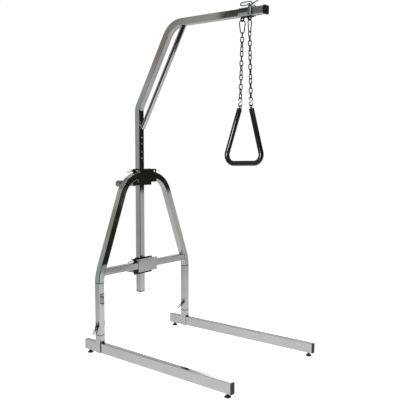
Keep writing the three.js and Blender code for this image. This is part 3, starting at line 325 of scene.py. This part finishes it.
tree.links.new(rough.outputs[0], surface.inputs["Roughness"])
tree.links.new(bump.outputs[0], surface.inputs["Normal"])
wear(moulded, "left_front_plug", "left_rear_plug", "right_front_plug", "right_rear_plug")
wear(moulded, "left_front_foot", "left_rear_foot", "right_front_foot", "right_rear_foot")


# Legs: a welded saddle sits over each rail, and the leg tube drops over its spigot and is pinned.
# Both are chromed with the rails.
wear(bright_chrome, "left_leg_stub", "right_leg_stub", "left_leg_tube", "right_leg_tube")


# Leg seams: each leg tube butts against the saddle below it and the arch's foot above it. Thin dark rings
# all the way round
# paint the joints: painted shadow in the gap, and a painted dark reflection in the polished ends beside it.
SEAM_WIDTH = 0.00416
SEAM_SUNK = 0.0013
SEAM_BEYOND = 0.0003
SEAM_CORNER = 0.002
SAME_POINT = 1e-7
SAME_PLACE = 1e-6
ACROSS = Vector((1, 0, 0))
ALONG = Vector((0, 1, 0))
UP = Vector((0, 0, 1))
# One dark material paints the shadows and dark reflections in the joints and gaps.
painted_dark_lines = plated("painted dark lines", (0.03, 0.035, 0.035), 0.3, 0.5, scale=80.0)


def finish_piece(name, bm, material, body):
    """Turns a built mesh into a smooth-shaded piece of the scene that rides on a body."""
    bmesh.ops.remove_doubles(bm, verts=bm.verts, dist=SAME_POINT)
    bmesh.ops.recalc_face_normals(bm, faces=bm.faces)
    mesh = bpy.data.meshes.new(name)
    bm.to_mesh(mesh)
    bm.free()
    mesh.materials.append(material)
    mesh.polygons.foreach_set("use_smooth", [True] * len(mesh.polygons))
    made = bpy.data.objects.new(name, mesh)
    scene.collection.objects.link(made)
    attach(made, body)
    return made


def skin(bm, rings, closed=False):
    """Joins like rings of points by faces. Unless the last ring meets the first, both ends are closed."""
    following = rings[1:] + rings[:1] if closed else rings[1:]
    for one, other in zip(rings, following):
        for k in range(len(one)):
            after = (k + 1) % len(one)
            bm.faces.new((one[k], one[after], other[after], other[k]))
    if not closed:
        bm.faces.new(rings[0])
        bm.faces.new(rings[-1])


def bent(corners, radii, closed=False, steps=8):
    """A route through the corners, each rounded to its radius."""
    route = []
    last = len(corners) - 1
    for index, corner in enumerate(corners):
        if not closed and index in (0, last):
            route.append(corner.copy())
            continue
        back = (corners[index - 1] - corner).normalized()
        ahead = (corners[(index + 1) % len(corners)] - corner).normalized()
        half = back.angle(ahead) / 2
        radius = radii[index]
        centre = corner + (back + ahead).normalized() * (radius / math.sin(half))
        start = corner + back * (radius / math.tan(half)) - centre
        end = corner + ahead * (radius / math.tan(half)) - centre
        axis = start.cross(end).normalized()
        for step in range(steps + 1):
            route.append(centre + Quaternion(axis, start.angle(end) * step / steps) @ start)
    kept = [route[0]]
    for stop in route[1:]:
        if (stop - kept[-1]).length > SAME_PLACE:
            kept.append(stop)
    if closed and (kept[0] - kept[-1]).length < SAME_PLACE:
        kept.pop()
    return kept


def sweep_wire(bm, route, side, thickness, sides, closed=False, ends=None, wobble=0.0):
    """Adds a round wire along a route in the plane square to side. Open ends follow (advance, radius)."""
    half = thickness / 2
    count = len(route)
    turns = [2 * math.pi * k / sides for k in range(sides)]
    rings = []

    def ring(stop, along, radius):
        out = side.cross(along).normalized()
        rings.append([
            bm.verts.new(stop + side * (radius * math.cos(turn)) + out * (radius * math.sin(turn)))
            for turn in turns
        ])

    ends = ends or [(0, half * 0.6), (half * 0.4, half)]
    for index, stop in enumerate(route):
        if closed:
            along = route[(index + 1) % count] - route[index - 1]
        else:
            along = route[min(index + 1, count - 1)] - route[max(index - 1, 0)]
        along.normalize()
        if closed or 0 < index < count - 1:
            ring(stop, along, half * (1 + wobble * math.sin(index * 1.7)))
        else:
            inward = 1 if index == 0 else -1
            for advance, radius in ends[::inward]:
                ring(stop + along * (advance * inward), along, radius)
    skin(bm, rings, closed)


def square_loop(centre, half, radius, side, up):
    """The rounded outline of a square tube, in the plane of side and up."""
    signs = ((-1, -1), (1, -1), (1, 1), (-1, 1))
    corners = [centre + side * (half * a) + up * (half * b) for a, b in signs]
    return bent(corners, [radius] * 4, closed=True, steps=4)


for hand in ("left", "right"):
    low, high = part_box(hand + "_leg_tube")
    middle = (low + high) / 2
    bm = bmesh.new()
    for level in (low.z - SEAM_BEYOND, high.z + SEAM_BEYOND):
        centre = Vector((middle.x, middle.y, level))
        loop = square_loop(centre, (high.x - low.x) / 2 - SEAM_SUNK, SEAM_CORNER, ACROSS, ALONG)
        sweep_wire(bm, loop, UP, SEAM_WIDTH, 8, closed=True)
    finish_piece(hand + "_leg_seam", bm, painted_dark_lines, "frame")


# Rail reflection: the right rail's reflection in the front of the left leg, above its pin, is painted on a
# thin bluish sheet laid on the tube. Its top and bottom edges are painted as dark lines, and the lower one
# runs a little out of level.
BAND_LOW = 0.2735
BAND_HIGH = 0.3205
BAND_INSET = 0.0035
BAND_PROUD = 0.0001
BAND_RIMS = ((0.0, 0.0002), (0.0, -0.0003), (0.0004, -0.0005))  # inset from the outline, depth
BAND_EDGE = 0.0056
BAND_EDGE_INSET = 0.001
BAND_SUNK = 0.0014
BAND_FALL = 0.0022
# A plated sheet in a bluish tone: the painted reflection of the right rail, as tall as the rail.
rail_reflection_paint = plated("painted rail reflection", (0.56, 0.59, 0.62), 0.05, 0.12, scale=50.0)
low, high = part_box("left_leg_tube")
front = low.y - BAND_PROUD
outer, inner = low.x + BAND_INSET, high.x - BAND_INSET
bm = bmesh.new()
rims = []
for inset, depth in BAND_RIMS:
    rims.append([
        bm.verts.new((x, front + depth, z))
        for x, z in (
            (outer + inset, BAND_LOW + inset), (inner - inset, BAND_LOW + inset),
            (inner - inset, BAND_HIGH - inset), (outer + inset, BAND_HIGH - inset),
        )
    ])
skin(bm, rims)
band = finish_piece("left_leg_rail_reflection", bm, rail_reflection_paint, "frame")
band.data.polygons.foreach_set("use_smooth", [False] * len(band.data.polygons))
# Its top and bottom edges: painted reflections of the rail's two dark edges.
bm = bmesh.new()
for z, fall in ((BAND_HIGH, 0.0), (BAND_LOW, BAND_FALL)):
    start = Vector((outer + BAND_EDGE_INSET, front + BAND_SUNK, z))
    end = Vector((inner - BAND_EDGE_INSET, front + BAND_SUNK, z - fall))
    sweep_wire(bm, [start, start.lerp(end, 0.5), end], ALONG, BAND_EDGE, 10)
finish_piece("left_rail_reflection_edges", bm, painted_dark_lines, "frame")


# Saddle seams: each saddle has a little room round the rail that it sits over. The narrow gap between its
# front edge and the rail's outer side is in shadow, painted as a thin dark wire.
SADDLE_SEAM_WIDTH = 0.0042
SADDLE_SEAM_INSET = 0.0036
SADDLE_SEAM_PROUD = 0.0004
SADDLE_SEAM_FOOT = 0.002
SADDLE_SEAM_MIDDLE = 0.025
SADDLE_SEAM_TOP = 0.001
for hand in ("left", "right"):
    low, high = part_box(hand + "_leg_stub")
    rail_low, rail_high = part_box(hand + "_rail")
    outer = low.x + SADDLE_SEAM_INSET if hand == "left" else high.x - SADDLE_SEAM_INSET
    levels = (rail_low.z + SADDLE_SEAM_FOOT, rail_low.z + SADDLE_SEAM_MIDDLE, rail_high.z - SADDLE_SEAM_TOP)
    bm = bmesh.new()
    route = [Vector((outer, low.y - SADDLE_SEAM_PROUD, z)) for z in levels]
    sweep_wire(bm, route, ALONG, SADDLE_SEAM_WIDTH, 10)
    finish_piece(hand + "_saddle_seam", bm, painted_dark_lines, "frame")


# Leg pins, clips and splices: steel pins bent over at one end, and kept in by clips of spring wire. Both
# have gone dark. The splices inside the legs' upper ends are zinc plated.
WIRE_SWELL = 0.0006
zinc = plated("zinc-plated wire", (0.55, 0.56, 0.56), 0.2, 0.35, scale=60.0)
spring_wire = plated("dark spring wire", (0.11, 0.125, 0.125), 0.2, 0.38, scale=90.0)


def fuller(*names):
    """Thickens drawn wire by its plating."""
    for name in names:
        swell = nodes[name].modifiers.new("plating", "DISPLACE")
        swell.strength = WIRE_SWELL
        swell.mid_level = 0


wear(spring_wire, "left_leg_pin", "right_leg_pin", "left_leg_clip", "right_leg_clip", shading=drawn)
fuller("left_leg_clip", "right_leg_clip")
wear(zinc, "left_leg_splice", "right_leg_splice")


# Arch and crossbar: square tube, bent cold and chromed. The crossbar's ends are coped and welded to the
# arch, and the small bead round each end is plated over with the rest.
WELD_BEAD = 0.0036
WELD_SUNK = 0.001
WELD_CORNER = 0.0025
WELD_STEP = 0.0025
WELD_RIPPLE = 0.16
wear(bright_chrome, "arch", "crossbar")
weld = plated("plated weld", (0.5, 0.5, 0.49), 0.12, 0.3, scale=120.0)
low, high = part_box("crossbar")
middle = (low + high) / 2
for hand, end in (("left", low.x + WELD_SUNK), ("right", high.x - WELD_SUNK)):
    loop = square_loop(Vector((end, middle.y, middle.z)), (high.z - low.z) / 2, WELD_CORNER, ALONG, UP)
    fine = []
    for one, other in zip(loop, loop[1:] + loop[:1]):
        pieces = max(1, round((other - one).length / WELD_STEP))
        fine += [one.lerp(other, k / pieces) for k in range(pieces)]
    bm = bmesh.new()
    sweep_wire(bm, fine, ACROSS, WELD_BEAD, 8, closed=True, wobble=WELD_RIPPLE)
    finish_piece(hand + "_crossbar_weld", bm, weld, "frame")


# Mast clamps: a chromed plate in front, a black powder-coated bracket behind, clevis pins with wire
# clips, and a screw with a fluted knob that presses on the mast.
POWDER_PEEL = 350.0
POWDER_BUMP = 0.0002
powder = bpy.data.materials.new("black powder coat")
powder.use_nodes = True
tree = powder.node_tree
surface = tree.nodes["Principled BSDF"]
where = lay(tree, "ShaderNodeTexCoord").outputs["Object"]
peel = lay(tree, "ShaderNodeTexNoise", [("Vector", where), ("Scale", POWDER_PEEL), ("Detail", 2.0)])
bump = lay(
    tree, "ShaderNodeBump", [("Strength", 0.3), ("Distance", POWDER_BUMP), ("Height", peel.outputs[0])]
)
surface.inputs["Base Color"].default_value = (0.008, 0.008, 0.008, 1)
surface.inputs["Roughness"].default_value = 0.4
tree.links.new(bump.outputs[0], surface.inputs["Normal"])
wear(powder, "upper_clamp_bracket", "lower_clamp_bracket", "hanger_yoke")
wear(bright_chrome, "upper_clamp_plate", "lower_clamp_plate", "upper_clamp_pin", "lower_clamp_pin")
wear(spring_wire, "upper_clamp_clip", "lower_clamp_clip", shading=drawn)
fuller("upper_clamp_clip", "lower_clamp_clip")
worn_chrome = plated("worn chrome", (0.36, 0.385, 0.4), 0.1, 0.25, scale=50.0)
wear(worn_chrome, "upper_clamp_screw", "lower_clamp_screw", "upper_clamp_knob", "lower_clamp_knob")


# Mast, boom and brace: the lower mast and the cranked upper tube meet over a sleeve held by four
# screws, and a round tube braces the crank. A black cap closes the boom and a plug the mast's foot.
PLUG_TOP = (0.0146, 0.002)
PLUG_PROFILE = [
    # height above the plug's lowest point, half width, corner radius
    (0.0078, 0.0150, 0.002), (0.0078, 0.0174, 0.0025), (0.0034, 0.0175, 0.0025),
    (0.0018, 0.0165, 0.003), (0.0006, 0.013, 0.004), (0.0, 0.008, 0.004),
]
wear(bright_chrome, "lower_mast", "boom", "brace")
wear(zinc, "mast_splice")
wear(moulded, "boom_cap")
low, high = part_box("mast_plug")
bm = bmesh.new()
rings = []
for level, half, corner in [(high.z, *PLUG_TOP)] + [(low.z + rise, *row) for rise, *row in PLUG_PROFILE]:
    centre = Vector(((low.x + high.x) / 2, (low.y + high.y) / 2, level))
    rings.append([bm.verts.new(stop) for stop in square_loop(centre, half, corner, ACROSS, ALONG)])
skin(bm, rings)
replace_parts(finish_piece("mast_foot_plug", bm, moulded, "mast"), "mast_plug")


# Hanger: a chromed sleeve on the boom with two ears, a dull zinc-plated clevis pin through them and its
# wire clip. A narrow strap with the same plating lies on the sleeve's side, at its end.
STRAP_WIDTH = 0.0095
STRAP_THICK = 0.0016
STRAP_SUNK = 0.0002
STRAP_INSET = 0.0004
STRAP_FOOT = 0.0018
STRAP_TOP = 0.0105
STRAP_EDGE = 0.0005
wear(bright_chrome, "hanger_sleeve")
pale_zinc = plated("pale zinc plate", (0.52, 0.57, 0.58), 0.35, 0.5, scale=60.0)
pale_zinc.node_tree.nodes["Principled BSDF"].inputs["Metallic"].default_value = 0.15
wear(pale_zinc, "hanger_pin")
low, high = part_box("hanger_sleeve")
outer, inner = low.x - STRAP_THICK, low.x + STRAP_SUNK
near, far = low.y + STRAP_INSET, low.y + STRAP_INSET + STRAP_WIDTH
bm = bmesh.new()
rims = [
    [bm.verts.new((x, y, z)) for x, y in ((inner, near), (outer, near), (outer, far), (inner, far))]
    for z in (low.z + STRAP_FOOT, high.z - STRAP_TOP)
]
skin(bm, rims)
bmesh.ops.bevel(bm, geom=bm.edges[:], offset=STRAP_EDGE, segments=2, affect="EDGES")
finish_piece("hanger_strap", bm, pale_zinc, "hanger")
wear(spring_wire, "hanger_clip", shading=drawn)
fuller("hanger_clip")


# Snap links: pear-shaped rings of bright wire in the yoke's eyes, each with a sprung gate that closes on
# a small nose. The rear one has turned half-way towards the boom's length.
SNAP_WIRE = 0.005
SNAP_DROP = 0.060
SNAP_WIDE = 0.0155
SNAP_NARROW = 0.008
SNAP_TURNS = {"rear": -45, "front": 0}
GATE_SHARES = (0.34, 0.72)
GATE_WIRE = SNAP_WIRE * 1.28
GATE_HALF = 0.003
# The rings' chrome is darkened to a third of the tubes': painted shade for the shadow in the yoke's eyes.
shaded_snap_chrome = plated("shaded snap link chrome", (0.2, 0.2, 0.21), 0.08, 0.2, scale=90.0)
snap_crowns = {}
for end, turn in SNAP_TURNS.items():
    low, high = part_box(end + "_snap_link")
    crown = Vector((0, (low.y + high.y) / 2, high.z - SNAP_WIRE / 2))
    snap_crowns[end] = crown
    across = Matrix.Rotation(math.radians(turn), 3, "Z") @ ACROSS
    side = across.cross(UP)
    taper = math.atan2(SNAP_WIDE - SNAP_NARROW, SNAP_DROP)
    big = SNAP_WIDE / math.tan(math.pi / 4 + taper / 2)
    small = SNAP_NARROW / math.tan(math.pi / 4 - taper / 2)
    corners = [
        crown + across * x - UP * drop
        for x, drop in ((-SNAP_WIDE, 0), (SNAP_WIDE, 0), (SNAP_NARROW, SNAP_DROP), (-SNAP_NARROW, SNAP_DROP))
    ]
    bm = bmesh.new()
    sweep_wire(bm, bent(corners, [big, big, small, small], closed=True), side, SNAP_WIRE, 14, closed=True)
    along = (corners[2] - corners[1]).normalized()
    for share in GATE_SHARES:
        hinge = corners[1].lerp(corners[2], share)
        knuckle = [hinge - along * GATE_HALF, hinge, hinge + along * GATE_HALF]
        sweep_wire(bm, knuckle, side, GATE_WIRE, 14)
    ring = finish_piece(end + "_snap_ring", bm, shaded_snap_chrome, end + "_snap")
    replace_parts(ring, end + "_snap_link")


# Chains: links bent from round wire and welded at one side. Both chains hang twisted, so that each link
# is turned on from the one above. The top link is a little finer, and can tip in the snap link's bend.
LINK_WIRE = 0.0049
TOP_LINK_WIRE = 0.0045
LINK_PITCH = 0.0218
LINK_HALF = 0.00675
LINK_LONG = 0.0253
LINK_COUNT = 14
LINK_SEAT = 0.00505
LINK_TURNS = {"rear": (-44.4, -108), "front": (0, 108)}
LINK_BEAD = LINK_WIRE * 1.2
LINK_BEAD_HALF = 0.0012
CHAIN_LEAN = {"rear": 1.684, "front": -1.684}
chain_steel = plated("darkened chain steel", (0.075, 0.07, 0.062), 0.16, 0.34, scale=160.0)
for end, (first, step) in LINK_TURNS.items():
    pivot = Matrix.Translation(snap_crowns[end] - Vector((0, 0, SNAP_DROP)))
    lean = Matrix.Rotation(math.radians(CHAIN_LEAN[end]), 4, "X")
    bm = bmesh.new()
    for link in range(LINK_COUNT):
        turn = Matrix.Rotation(math.radians(first + step * link), 4, "Z")
        hung = pivot @ lean @ Matrix.Translation((0, 0, LINK_SEAT - link * LINK_PITCH)) @ turn
        outline = ((-LINK_HALF, 0), (LINK_HALF, 0), (LINK_HALF, -LINK_LONG), (-LINK_HALF, -LINK_LONG))
        corners = [hung @ Vector((0, y, z)) for y, z in outline]
        side = (hung.to_3x3() @ ACROSS).normalized()
        wire = LINK_WIRE if link else TOP_LINK_WIRE
        sweep_wire(bm, bent(corners, [LINK_HALF] * 4, closed=True, steps=6), side, wire, 10, closed=True)
        weld_spot = corners[1].lerp(corners[2], 0.5)
        along = (corners[2] - corners[1]).normalized()
        bead = [weld_spot - along * LINK_BEAD_HALF, weld_spot, weld_spot + along * LINK_BEAD_HALF]
        sweep_wire(bm, bead, side, LINK_BEAD, 10)
    links = finish_piece(end + "_chain_links", bm, chain_steel, end + "_run")
    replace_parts(links, end + "_chain")


# S-hooks and handle eyes: the hook's upper bend holds the last link and its lower bend the eye that is
# screwed into the handle's end. Both are the chain's wire.
wear(chain_steel, "rear_hook", "front_hook", "rear_handle_eye", "front_handle_eye", shading=drawn)


# Handle: a bent steel rod in a thick sleeve of glossy black vinyl. It hangs a little tilted on its two
# hooks, its bottom bar is slightly skewed, and its two ends are bored for the eyes.
GRIP_RADIUS = 0.0123
GRIP_TOP_HALF = 0.031
GRIP_LOW_HALF = 0.1127
GRIP_HEIGHT = 0.2665
GRIP_BEND = 0.040
GRIP_SKEW = 0.0064
GRIP_TILT = math.radians(2.5)
GRIP_CUT_BACK = 0.00905
GRIP_TOP_RISE = 0.2756
GRIP_RIM_SHARES = ((0.0, 0.84), (0.0008, 0.95), (0.0025, 1.0))  # way in from the end, share of the radius
EYE_BORE = 0.0039
EYE_DEPTH = 0.016
vinyl = bpy.data.materials.new("glossy black vinyl")
vinyl.use_nodes = True
tree = vinyl.node_tree
surface = tree.nodes["Principled BSDF"]
where = lay(tree, "ShaderNodeTexCoord").outputs["Object"]
cloud = lay(tree, "ShaderNodeTexNoise", [("Vector", where), ("Scale", 30.0), ("Detail", 3.0)])
rough = lay(tree, "ShaderNodeMapRange", [(0, cloud.outputs[0]), (3, 0.14), (4, 0.26)])
surface.inputs["Base Color"].default_value = (0.006, 0.006, 0.007, 1)
tree.links.new(rough.outputs[0], surface.inputs["Roughness"])
low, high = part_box("handle")
top = Vector((0, (low.y + high.y) / 2, low.z + GRIP_TOP_RISE))
tilt = Matrix.Translation(top) @ Matrix.Rotation(GRIP_TILT, 4, "X")
slope = math.atan2(GRIP_LOW_HALF - GRIP_TOP_HALF, GRIP_HEIGHT)
end_half = GRIP_TOP_HALF + GRIP_CUT_BACK * math.sin(slope)
end_drop = GRIP_CUT_BACK * math.cos(slope)
outline = (
    (end_half, -end_drop), (GRIP_LOW_HALF, -GRIP_HEIGHT - GRIP_SKEW),
    (-GRIP_LOW_HALF, -GRIP_HEIGHT + GRIP_SKEW), (-end_half, -end_drop),
)
corners = [tilt @ Vector((0, y, z)) for y, z in outline]
rim = [(advance, GRIP_RADIUS * share) for advance, share in GRIP_RIM_SHARES]
bm = bmesh.new()
sweep_wire(
    bm, bent(corners, [0, GRIP_BEND, GRIP_BEND, 0], steps=16), ACROSS, GRIP_RADIUS * 2, 28,
    ends=[(EYE_DEPTH, EYE_BORE), (0, EYE_BORE)] + rim,
)
grip = finish_piece("handle_grip", bm, vinyl, "handle")
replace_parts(grip, "handle")


# Strip lamp: a strip softbox beside the stand lays one long highlight down the grip. It is linked to the
# grip alone, and lights nothing else.
STRIP_PLACE = (-2.42, -0.62, 0.90)
STRIP_AIM = (0, -0.3, 1.36)
STRIP_LENGTH = 1.1
STRIP_HEIGHT = 0.75
STRIP_POWER = 62
strip = area_lamp("strip lamp", STRIP_PLACE, STRIP_AIM, STRIP_LENGTH, STRIP_POWER)
strip.data.shape = "RECTANGLE"
strip.data.size_y = STRIP_HEIGHT
strip.data.color = (0.95, 0.96, 1.0)
lit_pieces = bpy.data.collections.new("lit by the strip lamp")
lit_pieces.objects.link(grip)
strip.light_linking.receiver_collection = lit_pieces
